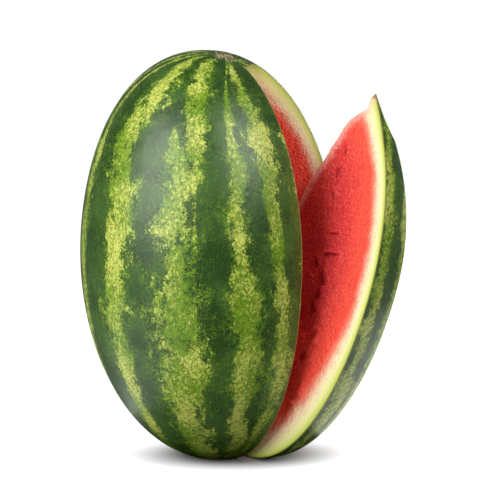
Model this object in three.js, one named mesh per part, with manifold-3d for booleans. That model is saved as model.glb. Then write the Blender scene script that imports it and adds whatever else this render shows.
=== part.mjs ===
// A watermelon standing on its blossom end, with a wedge cut out of its right front side.
// One slim slice of the same melon stands in the notch and leans out of it to the right.
// Millimetres, +Z up, the viewer stands towards -Y. The origin is a point on the melon's flat spot on the floor.

import * as THREE from 'three';
import { mergeVertices } from 'three/addons/utils/BufferGeometryUtils.js';
import Module from 'manifold-3d';

const wasm = await Module();
wasm.setup();

// The melon's skin, a lengthened egg
const girthRadius = 111.1;
const topRise = 171.8;
const bottomDrop = 183.1;
const floorTrim = 4.9;
const topRoundness = 0.93;
const bottomRoundness = 0.9;
const topLean = -2.7;
const bottomLean = 8.6;
const unevenness = 0.004;
const skinRows = 42;
const skinColumns = 64;

// Where the melon's axis stands, seen from the origin on the flat spot
const axisPlace = new THREE.Vector3(-6, -9, 0);

// The notch: two flat cuts towards the axis, which stop short of it near the top
const nearCutAzimuth = 43.6;
const farCutAzimuth = 79;
const notchTopReach = 50;
const notchSlope = 0.36;
const farReachShare = 0.89;
const coreStop = 1;
const cutterReach = 260;

// The slice: it starts at the near cut and narrows to its inner edge
const sliceAngle = 19.3;
const sliceTopReach = 61.4;
const sliceSlope = 0.455;
const edgeThickness = 1.2;
const edgeWave = 0.7;
const tornFoot = 124;
const tornReach = 16;
const tornHeight = 13;
const tipStart = 146;
const tipHeight = 151;
const tipSpread = 0.0135;
const flareStart = 110;
const flareReach = 5;
const flareHeight = 40;

// How the slice stands: turned about the axis, then tilted outwards about a floor line
const sliceTurn = -3.75;
const sliceTilt = 14.15;
const tiltLineAzimuth = 78.75;
const slicePlace = new THREE.Vector3(20, -4.6, 8.5);

// Stem scar
const scarPlace = new THREE.Vector2(14, -21);
const dimpleRadius = 12.5;
const dimpleDepth = 1.3;
const buttonRadius = 7;
const buttonHeight = 1.9;

// Hollows left by the seeds, as reach from the axis and height above the widest level
const seedLength = 5;
const seedWidth = 2.9;
const seedDepth = 1.9;
const sliceSeeds = [[45, 99], [43, 81], [44, 68], [48, 1], [58, -9], [58, -21], [57, -33], [66, -54], [59, -77]];
const sliceCracks = [[54, 32], [57, 15]];
const backSeeds = [[52, 84], [58, 46], [61, 8], [60, -31], [55, -70]];
const nearCutSeeds = [[56, 88], [60, 58], [62, 20], [61, -18], [58, -55], [50, -92]];
const farCutSeeds = [[54, 96], [60, 62], [63, 30], [64, -6], [60, -44], [54, -84]];

const widestLevel = bottomDrop - floorTrim;
const degrees = Math.PI / 180;

function outward(azimuth) {
  return new THREE.Vector3(Math.sin(azimuth * degrees), -Math.cos(azimuth * degrees), 0);
}

function sideways(azimuth) {
  return new THREE.Vector3(Math.cos(azimuth * degrees), Math.sin(azimuth * degrees), 0);
}

function softFloor(value, floor, softness) {
  return floor + softness * Math.log1p(Math.exp((value - floor) / softness));
}

// Reach of the skin from the axis and its height above the widest level, from pole to pole
function profile(polar) {
  const sine = Math.sin(polar);
  const cosine = -Math.cos(polar);
  if (cosine > 0) return [girthRadius * sine ** topRoundness, topRise * cosine];
  return [girthRadius * sine ** bottomRoundness, bottomDrop * cosine];
}

function axisShift(height) {
  if (height > 0) return topLean * (height / topRise) ** 2;
  return bottomLean * (height / bottomDrop) ** 2;
}

function swell(azimuth, height) {
  const slow = Math.sin(2 * azimuth + height / 95);
  const quick = 0.7 * Math.sin(5 * azimuth - height / 70 + 1);
  return 1 + unevenness * (slow + quick);
}

function skinPoint(polar, azimuth, flare) {
  const [reach, height] = profile(polar);
  const rise = Math.max(0, (height - flareStart) / flareHeight);
  const radius = reach * swell(azimuth, height) + flare * rise ** 2 * Math.min(1, reach / 20);
  const x = radius * Math.sin(azimuth) + axisShift(height);
  const y = -radius * Math.cos(azimuth);
  return new THREE.Vector3(x, y, height + widestLevel);
}

function meshGeometry(points, triangles) {
  const geometry = new THREE.BufferGeometry();
  geometry.setFromPoints(points);
  geometry.setIndex(triangles.flat());
  return geometry;
}

// A closed skin from rings of points, with one point at each pole
function skinGeometry(rows, azimuths, flare) {
  const columns = azimuths.length;
  const points = [skinPoint(0, 0, flare)];
  for (let row = 1; row < rows; row += 1) {
    const polar = (Math.PI * row) / rows;
    for (const azimuth of azimuths) points.push(skinPoint(polar, azimuth, flare));
  }
  points.push(skinPoint(Math.PI, 0, flare));
  const top = points.length - 1;
  const at = (row, column) => 1 + (row - 1) * columns + (column % columns);
  const triangles = [];
  for (let column = 0; column < columns; column += 1) {
    triangles.push([0, at(1, column + 1), at(1, column)]);
    triangles.push([top, at(rows - 1, column), at(rows - 1, column + 1)]);
    for (let row = 1; row < rows - 1; row += 1) {
      const corners = [at(row, column), at(row, column + 1), at(row + 1, column + 1), at(row + 1, column)];
      triangles.push([corners[0], corners[1], corners[2]]);
      triangles.push([corners[0], corners[2], corners[3]]);
    }
  }
  return meshGeometry(points, triangles);
}

// A closed block from four-cornered sections stacked upwards
function stackGeometry(sections) {
  const points = sections.flat();
  const last = points.length - 4;
  const triangles = [[0, 2, 1], [0, 3, 2], [last, last + 1, last + 2], [last, last + 2, last + 3]];
  for (let level = 0; level < sections.length - 1; level += 1) {
    for (let side = 0; side < 4; side += 1) {
      const near = 4 * level + side;
      const next = 4 * level + ((side + 1) % 4);
      triangles.push([near, next, next + 4]);
      triangles.push([near, next + 4, near + 4]);
    }
  }
  return meshGeometry(points, triangles);
}

function solidOf(geometry) {
  const bare = geometry.clone();
  bare.deleteAttribute('normal');
  bare.deleteAttribute('uv');
  const merged = mergeVertices(bare);
  const vertProperties = new Float32Array(merged.attributes.position.array);
  const triVerts = new Uint32Array(merged.index.array);
  return new wasm.Manifold(new wasm.Mesh({ numProp: 3, vertProperties, triVerts }));
}

function geometryOf(solid) {
  const mesh = solid.getMesh();
  const geometry = new THREE.BufferGeometry();
  geometry.setAttribute('position', new THREE.BufferAttribute(mesh.vertProperties, 3));
  geometry.setIndex(Array.from(mesh.triVerts));
  geometry.computeVertexNormals();
  return geometry;
}

// Heights for the cutters, closer together where the inner edge bends
function cutterHeights() {
  const heights = [-bottomDrop - 40, -120, -60];
  for (let height = -20; height < 110; height += 10) heights.push(height);
  for (let height = 110; height < topRise + 30; height += 4) heights.push(height);
  heights.push(topRise + 40);
  return heights;
}

function notchEdge(height) {
  return softFloor(notchTopReach - notchSlope * (topRise - height), coreStop, 6);
}

function sliceEdge(height) {
  return softFloor(sliceTopReach - sliceSlope * (topRise - height), coreStop, 6);
}

// The slice's inner edge is torn back under its tip, and the tip itself slopes
function tornEdge(height) {
  const wave = edgeWave * Math.sin(height / 4.3) * Math.sin(height / 11);
  const torn = Math.min(1, Math.max(0, (height - tornFoot) / tornHeight));
  const edge = sliceEdge(Math.min(height, tornFoot));
  const tip = Math.max(0, height - tipStart);
  return edge + wave + tornReach * torn + tip;
}

function notchSection(height) {
  const near = outward(nearCutAzimuth);
  const far = outward(farCutAzimuth);
  const edge = notchEdge(height);
  const reaches = [near.clone().multiplyScalar(edge), near.clone().multiplyScalar(cutterReach)];
  reaches.push(far.clone().multiplyScalar(cutterReach), far.clone().multiplyScalar(edge * farReachShare));
  return reaches.map((point) => point.setZ(height + widestLevel));
}

// A point of the slice: reach along the near cut, thickness behind it
function slicePoint(reach, thickness, height) {
  const point = outward(nearCutAzimuth).multiplyScalar(reach);
  point.addScaledVector(sideways(nearCutAzimuth), thickness);
  return point.setZ(height + widestLevel);
}

function backThickness(reach, height) {
  return edgeThickness + (reach - sliceEdge(Math.min(height, tornFoot))) * Math.tan(sliceAngle * degrees);
}

// The tip is pared thin from behind
function tipSection(height) {
  const thickness = edgeThickness + tipSpread * Math.max(0, tipHeight - height) ** 2;
  const front = [slicePoint(-cutterReach, -10, height), slicePoint(cutterReach, -10, height)];
  return [...front, slicePoint(cutterReach, thickness, height), slicePoint(-cutterReach, thickness, height)];
}

function sliceSection(height) {
  const edge = tornEdge(height);
  const front = [slicePoint(edge, 0, height), slicePoint(cutterReach, 0, height)];
  const back = [cutterReach, edge].map((reach) => slicePoint(reach, backThickness(reach, height), height));
  return [...front, ...back];
}

// An oval hollow, its long side up the cut face and its short side into it
function hollow(place, faceNormal, length, width, lean) {
  const ball = new THREE.IcosahedronGeometry(1, 1);
  const up = new THREE.Vector3(0, 0, 1);
  const across = up.clone().cross(faceNormal);
  const turn = new THREE.Matrix4().makeBasis(across, up, faceNormal);
  const size = new THREE.Matrix4().makeScale(width, length, seedDepth);
  const roll = new THREE.Matrix4().makeRotationZ(lean);
  const matrix = new THREE.Matrix4().makeTranslation(place).multiply(turn).multiply(roll).multiply(size);
  return solidOf(ball.applyMatrix4(matrix));
}

function seedHollows(seeds, placeOf, faceNormal) {
  return seeds.map(([reach, height], number) => {
    const lean = 0.5 * Math.sin(number * 2.4);
    return hollow(placeOf(reach, height), faceNormal, seedLength, seedWidth, lean);
  });
}

function cutFacePlace(azimuth) {
  return (reach, height) => outward(azimuth).multiplyScalar(reach).setZ(height + widestLevel);
}

function floorBlock() {
  const block = new THREE.BoxGeometry(900, 900, 200);
  return block.translate(0, 0, -100);
}

// The polar angle at which the skin stands a given reach from the axis, near the top
function topPolar(reach) {
  return Math.PI - Math.asin((reach / girthRadius) ** (1 / topRoundness));
}

function scarFrame() {
  const fromAxis = scarPlace.clone().sub(new THREE.Vector2(topLean, 0));
  const azimuth = Math.atan2(fromAxis.x, -fromAxis.y);
  const polar = topPolar(fromAxis.length());
  const place = skinPoint(polar, azimuth, 0);
  const along = skinPoint(polar, azimuth + 0.02, 0).sub(place);
  const down = skinPoint(polar - 0.02, azimuth, 0).sub(place);
  const normal = down.cross(along).normalize();
  const turn = new THREE.Quaternion().setFromUnitVectors(new THREE.Vector3(0, 0, 1), normal);
  return new THREE.Matrix4().compose(place, turn, new THREE.Vector3(1, 1, 1));
}

function scarDimple() {
  const bowl = new THREE.SphereGeometry(1, 24, 8);
  bowl.rotateX(Math.PI / 2);
  bowl.scale(dimpleRadius, dimpleRadius, dimpleDepth);
  return solidOf(bowl.applyMatrix4(scarFrame()));
}

// The corky stub where the stalk came off, with a lumpy rim and a sunken middle
function scarButton() {
  const outline = [[0, -4], [1, -4], [1, 0.1], [0.86, 0.5], [0.5, 0.42], [0.22, 0.15], [0, 0.1]];
  const profilePoints = outline.map(([reach, rise]) => new THREE.Vector2(reach * buttonRadius, rise * buttonHeight));
  const button = new THREE.LatheGeometry(profilePoints, 18);
  const position = button.attributes.position;
  for (let i = 0; i < position.count; i += 1) {
    const angle = Math.atan2(position.getZ(i), position.getX(i));
    const lump = 1 + 0.12 * Math.sin(3 * angle) + 0.08 * Math.sin(7 * angle + 1);
    position.setX(i, position.getX(i) * lump);
    position.setZ(i, position.getZ(i) * lump);
  }
  button.rotateX(Math.PI / 2);
  return solidOf(button.applyMatrix4(scarFrame()));
}

function evenAzimuths(count) {
  return Array.from({ length: count }, (_, column) => (2 * Math.PI * column) / count);
}

// Closely spaced over the slice, wide apart on the side that is cut away
function sliceAzimuths() {
  const start = (nearCutAzimuth - 10) * degrees;
  const fine = Array.from({ length: 24 }, (_, column) => start + column * 3 * degrees);
  const coarse = Array.from({ length: 12 }, (_, column) => start + (80 + column * 22) * degrees);
  return [...fine, ...coarse];
}

function melonSolid() {
  const skin = solidOf(skinGeometry(skinRows, evenAzimuths(skinColumns), 0));
  const notch = solidOf(stackGeometry(cutterHeights().map(notchSection)));
  const nearHollows = seedHollows(nearCutSeeds, cutFacePlace(nearCutAzimuth), sideways(nearCutAzimuth));
  const farHollows = seedHollows(farCutSeeds, cutFacePlace(farCutAzimuth), sideways(farCutAzimuth).negate());
  let solid = skin.subtract(scarDimple()).add(scarButton());
  solid = solid.subtract(notch).subtract(solidOf(floorBlock()));
  for (const pit of [...nearHollows, ...farHollows]) solid = solid.subtract(pit);
  return solid;
}

function slicePlacement() {
  const tiltLine = sideways(tiltLineAzimuth - 90).set(
    Math.cos(tiltLineAzimuth * degrees), Math.sin(tiltLineAzimuth * degrees), 0);
  const turn = new THREE.Quaternion().setFromAxisAngle(new THREE.Vector3(0, 0, 1), sliceTurn * degrees);
  const tilt = new THREE.Quaternion().setFromAxisAngle(tiltLine, sliceTilt * degrees);
  return new THREE.Matrix4().compose(slicePlace, tilt.multiply(turn), new THREE.Vector3(1, 1, 1));
}

function sliceSolid() {
  const skin = solidOf(skinGeometry(skinRows + 10, sliceAzimuths(), flareReach));
  const wedge = solidOf(stackGeometry(cutterHeights().map(sliceSection)));
  const floor = solidOf(floorBlock().applyMatrix4(slicePlacement().invert()));
  const front = sideways(nearCutAzimuth).negate();
  const back = sideways(nearCutAzimuth + sliceAngle);
  const backPlace = (reach, height) => slicePoint(reach, backThickness(reach, height), height);
  const cracks = sliceCracks.map(([reach, height]) => hollow(
    cutFacePlace(nearCutAzimuth)(reach, height), front, 9, 1.8, Math.PI / 2 - 0.25));
  const pits = seedHollows(sliceSeeds, cutFacePlace(nearCutAzimuth), front);
  const tip = solidOf(stackGeometry(cutterHeights().map(tipSection)));
  let solid = skin.intersect(wedge).intersect(tip).subtract(floor);
  for (const pit of [...pits, ...cracks, ...seedHollows(backSeeds, backPlace, back)]) solid = solid.subtract(pit);
  return solid;
}

function makeMesh(name, solid, colour, roughness) {
  const material = new THREE.MeshStandardMaterial({ color: colour, roughness, metalness: 0 });
  const mesh = new THREE.Mesh(geometryOf(solid), material);
  mesh.name = name;
  return mesh;
}

const melon = makeMesh('melon', melonSolid(), 0x2f6b2c, 0.35);
const slice = makeMesh('slice', sliceSolid(), 0xd8322f, 0.5);
slice.applyMatrix4(slicePlacement());

const watermelon = new THREE.Group();
watermelon.name = 'watermelon';
watermelon.add(melon, slice);
watermelon.position.copy(axisPlace);

export default watermelon;
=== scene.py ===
"""A watermelon standing on end with a wedge cut out of it, and one slim slice leaning out of the notch.

Laid out as a Blender add-on and run as a script. Shapes are worked out in millimetres, with heights
counted from the melon's widest level, and become metres where a mesh is made.
"""

import math

import bmesh
import bpy
import numpy as np
from bpy.props import FloatProperty, FloatVectorProperty, PointerProperty
from mathutils import Matrix, Vector


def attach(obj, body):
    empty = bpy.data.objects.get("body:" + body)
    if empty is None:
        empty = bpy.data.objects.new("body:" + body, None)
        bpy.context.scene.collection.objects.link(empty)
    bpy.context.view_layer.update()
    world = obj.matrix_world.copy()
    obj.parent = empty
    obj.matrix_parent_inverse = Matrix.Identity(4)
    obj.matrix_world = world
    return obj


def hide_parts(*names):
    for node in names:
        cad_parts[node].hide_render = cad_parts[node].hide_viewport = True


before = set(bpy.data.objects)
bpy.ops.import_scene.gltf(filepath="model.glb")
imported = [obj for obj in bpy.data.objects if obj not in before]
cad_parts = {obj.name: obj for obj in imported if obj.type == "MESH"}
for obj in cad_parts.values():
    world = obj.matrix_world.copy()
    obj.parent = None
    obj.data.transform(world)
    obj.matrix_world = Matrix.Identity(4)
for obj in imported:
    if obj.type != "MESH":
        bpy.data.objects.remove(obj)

bl_info = {
    "name": "Cut watermelon",
    "version": (1, 0, 0),
    "blender": (4, 5, 0),
    "location": "3D View > Sidebar > Watermelon",
    "description": "Builds a cut watermelon with one slice leaning out of its notch",
    "category": "Add Mesh",
}

MM = 0.001

# The melon's skin, a lengthened egg whose axis leans at both ends
FLOOR_TRIM = 4.9
TOP_ROUNDNESS = 0.93
BOTTOM_ROUNDNESS = 0.9
TOP_LEAN = -2.7
BOTTOM_LEAN = 8.6
UNEVENNESS = 0.004
SLOW_WAVE = 95.0
QUICK_WAVE = 70.0
SKIN_INSET = 0.3
POLE_FADE = 20.0
BASE_MIDDLE = (-4.4, 2.4)
AXIS_PLACE = (-6.0, -9.0, 0.0)

# The notch
NOTCH_TOP_REACH = 50.0
NOTCH_SLOPE = 0.36
FAR_REACH_SHARE = 0.89
CORE_STOP = 1.0
CORE_SOFTNESS = 6.0
LOWEST_NOTCH_TOP = 100.0

# The slice and its torn inner edge
SLICE_TOP_REACH = 61.4
SLICE_SLOPE = 0.455
EDGE_THICKNESS = 1.2
EDGE_WAVE = 0.7
EDGE_WAVE_LENGTHS = (4.3, 11.0)
EDGE_TEAR = 0.9
EDGE_TEAR_SIZE = 2.4
TORN_FOOT = 124.0
TORN_REACH = 16.0
TORN_HEIGHT = 13.0
TIP_START = 146.0
TIP_HEIGHT = 151.0
TIP_SPREAD = 0.0135
LOWEST_TIP = 140.0
FLARE = 5.0
FLARE_START = 110.0
FLARE_HEIGHT = 40.0
SLICE_FOOT_RADIUS = 8.5

# How the slice stands
TILT_LINE = math.radians(78.75)
SLICE_PLACE = (20.0, -4.6, 8.5)

# Stem scar: the stub's outline has shares of its radius and of its height
SCAR_PLACE = (14.0, -21.0)
DIMPLE_RADIUS = 12.5
DIMPLE_DEPTH = 1.3
BUTTON_RADIUS = 7.0
BUTTON_HEIGHT = 1.9
BUTTON_LOBES = (0.12, 0.08)
BUTTON_OUTLINE = ((0.0, 0.1), (0.22, 0.15), (0.5, 0.42), (0.86, 0.5), (1.0, 0.1), (1.05, -2.0))

# Seed hollows: reach from the axis, height, size and darkness. The darkness paints shade into each hollow
# over its own deeper red; the wide shallow hollows of size 4 and 5 are dips whose darkness is painted shade
# only.
SEED_LENGTH = 5.6
SEED_WIDTH = 3.3
SEED_DEPTH = 2.2
SEED_LEAN = 0.5
SEED_LEAN_STEP = 2.4
RIM_RAGGEDNESS = 0.9
RIM_LUMP_SIZE = 3.1
HOLLOW_SPREAD = 1.6
SLICE_SEEDS = (
    (45, 99, 0.9, 0.5), (43, 81, 1.0, 0.6), (44, 62, 0.8, 0.55), (46, 50, 0.6, 0.5), (46, 4, 0.9, 0.9),
    (58, -9, 1.3, 0.95), (58, -21, 1.0, 0.9), (55, -34, 1.4, 0.9), (65, -54, 0.9, 0.8), (58, -77, 1.2, 0.8),
    (50, -32, 5.0, 0.4), (54, -78, 4.0, 0.35), (50, -98, 5.0, 0.5), (38, 20, 4.0, 0.25))
SLICE_CRACKS = ((59, 14, 11.5, 0.95), (57, 31, 5.5, 0.8))
CRACK_WIDTH = 1.6
CRACK_LEAN = 0.25
BACK_SEEDS = (
    (52, 84, 0.9, 0.7), (57, 62, 0.7, 0.6), (61, 34, 1.1, 0.8), (63, 2, 0.8, 0.6), (59, -31, 1.2, 0.8),
    (53, -70, 0.9, 0.6), (50, -20, 5.0, 0.25))
NEAR_CUT_SEEDS = (
    (56, 88, 1.0, 0.8), (60, 58, 0.8, 0.7), (62, 20, 1.2, 0.9), (61, -18, 0.9, 0.8), (58, -55, 1.1, 0.8),
    (50, -92, 0.8, 0.7))
FAR_CUT_SEEDS = (
    (54, 96, 0.8, 0.6), (60, 62, 1.1, 0.8), (63, 30, 0.9, 0.7), (64, -6, 1.2, 0.8), (60, -44, 1.0, 0.8),
    (54, -84, 0.9, 0.7))

# Shares by which the rind is thicker towards the melon's ends, and how far from the widest level it grows
TOP_RIND = 0.55
TOP_RIND_RISE = (85, 150)
BOTTOM_RIND = 0.78
BOTTOM_RIND_DROP = (5, 130)

# Relief: height and size of each kind of lump, and the depths over which skin turns to grainy flesh
FINE_GRAIN = (0.35, 2.6)
COARSE_GRAIN = (0.55, 9)
COARSE_GRAIN_STRETCH = (1, 1, 0.55)
WIDE_DENTS = (0.3, 22)
SMALL_DENTS = (0.08, 6)
FLESH_START = (6, 16)

# Light stripes of the skin: height, azimuth in degrees and half width, from the blossom end up.
# Above the level where the pole starts to move, the azimuths are counted round a pole near the stem scar.
POLE_MOVE_START = 105.0
STRIPES = (
    ((-165, -50, 4), (-140, -48, 6), (-104, -47, 9), (-64, -48, 11), (-30, -46, 14), (0, -44, 11),
     (35, -41, 13), (60, -43, 14), (90, -47, 8), (106, -46, 10), (123, -43, 10), (136, -45, 9),
     (149, -51, 7.5), (158, -58, 5), (165, -67, 2)),
    ((-165, -16, 10), (-146, -15, 14), (-126, -16, 11), (-104, -16, 17), (-60, -13, 19), (-20, -12, 19),
     (0, -12, 14), (40, -16, 14), (60, -15, 13), (84, -13, 9), (104, -17, 4), (112, -18, 0.5)),
    ((60, -6, 1), (72, -6, 5), (88, -5.5, 7), (104, -6.5, 7.5), (123, -8, 8), (142, -15, 8), (160, -33, 5)),
    ((-165, 17, 6), (-146, 16.5, 9), (-121, 13, 6), (-106, 17, 11), (-79, 18, 12), (-48, 16.5, 11),
     (-24, 17, 14), (0, 14, 8), (15, 13, 6), (50, 12, 7), (84, 14, 6), (95, 12, 3.5), (113, 12, 3.5),
     (128, 10.5, 3), (150, 6, 0.5)),
    ((-165, 27, 3), (-142, 30, 5), (-115, 35, 8), (-82, 35, 6.5), (-32, 34, 6), (0, 31, 5), (48, 29, 5.5),
     (86, 27.5, 7.5), (108, 29, 6.5), (126, 27, 6.5), (140, 21, 5), (157, 17, 3)),
    ((-165, -80, 5), (-109, -81, 8), (-38, -74, 8), (30, -72, 8), (80, -71, 8), (104, -72, 6),
     (148, -81, 2.5)),
    ((-165, 48, 4), (-100, 50, 7), (-50, 49, 6.5), (0, 48, 6), (50, 47.5, 5.5), (100, 47, 5), (150, 53, 1)),
    ((-165, 62, 5), (-100, 63, 6), (-50, 62, 6), (0, 62, 5), (50, 61, 5), (110, 62, 4), (150, 74, 2)),
)
BACK_STRIPES = (98, 128, 157, 186, 217, 246, 268)
BACK_STRIPE_WIDTH = 13.0
BACK_STRIPE_ENDS = 70.0
BACK_SWAY = 0.05
BACK_SWAY_LENGTH = 38.0
BACK_SWELL = 0.25
BACK_SWELL_LENGTH = 27.0

# Paler and greener patches of the stripes: height, azimuth round the axis in degrees, radius and amount
SHADE_PATCHES = (
    (143, -36, 24, 0.5), (116, -42, 20, 0.35), (58, -42, 28, 0.6), (13, -42, 24, 0.45), (-40, -40, 22, 0.3),
    (142, -7.5, 22, 0.4), (88, -8, 22, -0.45), (16, -14.5, 22, -0.65), (-5, -6.5, 20, -0.6),
    (-59, -12.8, 14, -1.7), (-79, -10.5, 16, 0.3), (-122, -12.5, 26, 0.65), (-159, -19, 16, 0.4),
    (8, 13, 20, -0.5), (-84, 18, 26, 0.5), (-146, 15, 18, 0.3), (100, 28.5, 34, 1.2), (28, 29.5, 22, 0.4),
    (-82, 35, 24, 0.5), (-132, 30, 18, -0.3), (8, 2.5, 26, -0.7), (-40, 0, 24, -0.4), (60, 49, 40, 0.5),
    (-100, 55, 50, 0.5))

# Round the stem scar: distances over which the stripes fade and the cork begins
STRIPE_FADE = (38, 12)
STRIPE_LOSS = 0.6
CORK_FADE = (11.5, 5)
CORK_LUMP_SIZE = 2.5
CORK_LOBE = 3

# Mesh spacing
FRUIT_COLUMNS = 230
NOTCH_COLUMNS = 26
LOWER_ROWS = 190
UPPER_ROWS = 44
FACE_COLUMNS = 84
BASE_RINGS = 10
SLICE_ROWS = 300
SLICE_FACE_COLUMNS = 84
SLICE_SKIN_COLUMNS = 30
SLICE_EDGE_COLUMNS = 5

# Steps and gaps of the working
FAR_FROM_EDGE = 60.0
ARC_STEPS = 4000
FOOT_SEARCH = 1500
HALVINGS = 40
LINE_POINTS_AT_ONCE = 40
SEAM_GAP = 0.02
FLOOR_CUT_GAP = 1e-6
SHARP_ANGLE = math.radians(50)

# Materials, and what only they use: the tip's levels are in metres
SKIN_FINISH = "striped waxy skin"
FLESH_FINISH = "fibrous flesh and rind"
FLESH_SPAN = 70.0
SKIN_LINE = (0.06, 0.09, 0.012)
PALE_RIND = (0.8, 0.8, 0.36)
PEACH_RIND = (0.93, 0.66, 0.43)
JUICE = (0.98, 0.17, 0.095)
CRUMBS = (0.95, 0.46, 0.36)
DRIED_TIP = (0.24, 0.16, 0.05)
DRIED_TIP_LEVELS = (0.323, 0.3275)
# Dark red of the seed hollows: partly their own deeper red, partly painted shade
SEED_HOLLOW_RED_AND_SHADE = (0.2, 0.002, 0.008)
# Pale line along the skin's cut edges: partly the rind at the edge, partly a painted highlight on the wet
# edge
CUT_EDGE_RIND_AND_HIGHLIGHT = (0.34, 0.27, 0.1)
CORK_PITS = (0.07, 0.04, 0.018)
CORK_CRUST = (0.09, 0.055, 0.028)
CORK_GREEN = (0.24, 0.26, 0.08)

# The stage, in metres: a light box's azimuth, elevation, distance, size and power setting
LIGHT_BOXES = (
    ("left box", -49, 25, 1.5, (1.1, 1.4), "left_power"),
    ("right box", 40, 40, 1.6, (0.9, 1.0), "right_power"),
    ("rear box", 150, 4, 1.5, (1.2, 0.5), "rear_power"))
LIT_POINT = (0, 0, 0.17)

# A floor card's place, size and power setting
FLOOR_CARDS = (
    ("side card", (0.24, 0.06, 0.003), (0.28, 0.32), "side_card_power"),
    ("front card", (-0.3, -0.22, 0.003), (0.4, 0.5), "front_card_power"))

# The oval round the fruit's foot where the floors don't glow, which on the pale floor is a painted contact
# shadow, and where each floor's glow starts and is full
SHADOW_OVAL_PLACE = (0.018, -0.02, 0)
SHADOW_OVAL_STRETCH = (0.6, 1, 1)
FLOOR_GLOW = (0.022, 0.068)
BOUNCE_GLOW = (0.03, 0.095)
BOUNCE_COLOUR = (0.02, 0.02, 0.02)
BOUNCE_SHARE = 1.25
BOUNCE_LEVEL = -0.001
WHITE = (1, 1, 1, 1)
BACKDROP_BRIGHTNESS = 1.05

# The camera, in metres and in millimetres of its sensor and lens
CAMERA_PLACE = (-0.006, -1.4329, 0.3876)
CAMERA_AIM = (0.0258, -0.009, 0.1782)
SENSOR_WIDTH = 36
LENS = 120.01


# Settings

class FruitSizes(bpy.types.PropertyGroup):
    """Sizes of the whole melon and directions of its two cuts"""

    girth_radius: FloatProperty(
        name="Girth radius", description="Radius of the melon at its widest level",
        default=0.1111, min=0.03, unit="LENGTH")
    top_rise: FloatProperty(
        name="Top rise", description="Height from the widest level to the stem end",
        default=0.1718, min=0.03, unit="LENGTH")
    bottom_drop: FloatProperty(
        name="Bottom drop", description="Depth from the widest level to the blossom end",
        default=0.1831, min=0.03, unit="LENGTH")
    near_cut: FloatProperty(
        name="Near cut", description="Direction of the notch's near cut, from the front towards the right",
        default=math.radians(43.6), subtype="ANGLE")
    far_cut: FloatProperty(
        name="Far cut", description="Direction of the notch's far cut, from the front towards the right",
        default=math.radians(79), subtype="ANGLE")


class SliceSizes(bpy.types.PropertyGroup):
    """The slice's width and how it leans"""

    angle: FloatProperty(
        name="Slice angle", description="Angle between the slice's two cut faces",
        default=math.radians(19.3), subtype="ANGLE")
    turn: FloatProperty(
        name="Turn", description="Turn of the slice about the melon's axis",
        default=math.radians(-3.75), subtype="ANGLE")
    tilt: FloatProperty(
        name="Tilt", description="Lean of the slice out of the notch",
        default=math.radians(14.15), subtype="ANGLE")


class SkinColours(bpy.types.PropertyGroup):
    """Colours of the skin and the stem scar"""

    deep: FloatVectorProperty(
        name="Deep green", description="Darkest green between the stripes",
        default=(0.01, 0.04, 0.002), subtype="COLOR")
    dark: FloatVectorProperty(
        name="Dark green", description="Common green between the stripes",
        default=(0.031, 0.082, 0.01), subtype="COLOR")
    lime: FloatVectorProperty(
        name="Lime", description="Greener part of the light stripes",
        default=(0.13, 0.25, 0.003), subtype="COLOR")
    pale: FloatVectorProperty(
        name="Pale lime", description="Palest flecks of the light stripes",
        default=(0.5, 0.55, 0.1), subtype="COLOR")
    cork: FloatVectorProperty(
        name="Cork", description="Dry stem scar",
        default=(0.5, 0.4, 0.25), subtype="COLOR")


class FleshColours(bpy.types.PropertyGroup):
    """Colours from the rind to the heart, and the rind's depth"""

    rind: FloatVectorProperty(
        name="Rind", description="Yellow-green of the rind just under the skin",
        default=(0.5, 0.57, 0.09), subtype="COLOR")
    cream: FloatVectorProperty(
        name="Cream", description="Pale inner part of the rind",
        default=(0.92, 0.83, 0.53), subtype="COLOR")
    blush: FloatVectorProperty(
        name="Blush", description="Where the rind turns into flesh",
        default=(0.93, 0.27, 0.17), subtype="COLOR")
    flesh: FloatVectorProperty(
        name="Flesh", description="Outer flesh",
        default=(0.95, 0.062, 0.03), subtype="COLOR")
    # Darker red deep in the flesh: partly its own deeper red, partly painted shade where the melon shades
    # the inner flesh
    heart_and_shade: FloatVectorProperty(
        name="Heart", description="Flesh near the middle of the melon",
        default=(0.6, 0.006, 0.022), subtype="COLOR")
    rind_depth: FloatProperty(
        name="Rind depth", description="Depth under the skin at which the flesh is fully red",
        default=0.0185, min=0.002, unit="LENGTH")


class StageSettings(bpy.types.PropertyGroup):
    """The floor and the powers of the lights"""

    floor_size: FloatProperty(
        name="Floor size", description="Side of the square floor",
        default=40.0, min=1.0, unit="LENGTH")
    floor_colour: FloatVectorProperty(
        name="Floor colour", description="Colour of the plain floor",
        default=(0.28, 0.28, 0.28), subtype="COLOR")
    left_power: FloatProperty(
        name="Left box power", description="Power of the tall light box on the left",
        default=28.5, min=0.0, unit="POWER")
    right_power: FloatProperty(
        name="Right box power", description="Power of the light box on the right",
        default=16.5, min=0.0, unit="POWER")
    rear_power: FloatProperty(
        name="Rear box power", description="Power of the low light box behind the slice",
        default=7.0, min=0.0, unit="POWER")
    front_card_power: FloatProperty(
        name="Front card power", description="Power of the card that lights the melon's lower front",
        default=0.65, min=0.0, unit="POWER")
    side_card_power: FloatProperty(
        name="Side card power", description="Power of the card that lights the slice's underside",
        default=0.36, min=0.0, unit="POWER")
    surround: FloatProperty(
        name="Surround", description="Brightness of the light that comes from all round",
        default=0.17, min=0.0)


# The melon's shape

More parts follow.
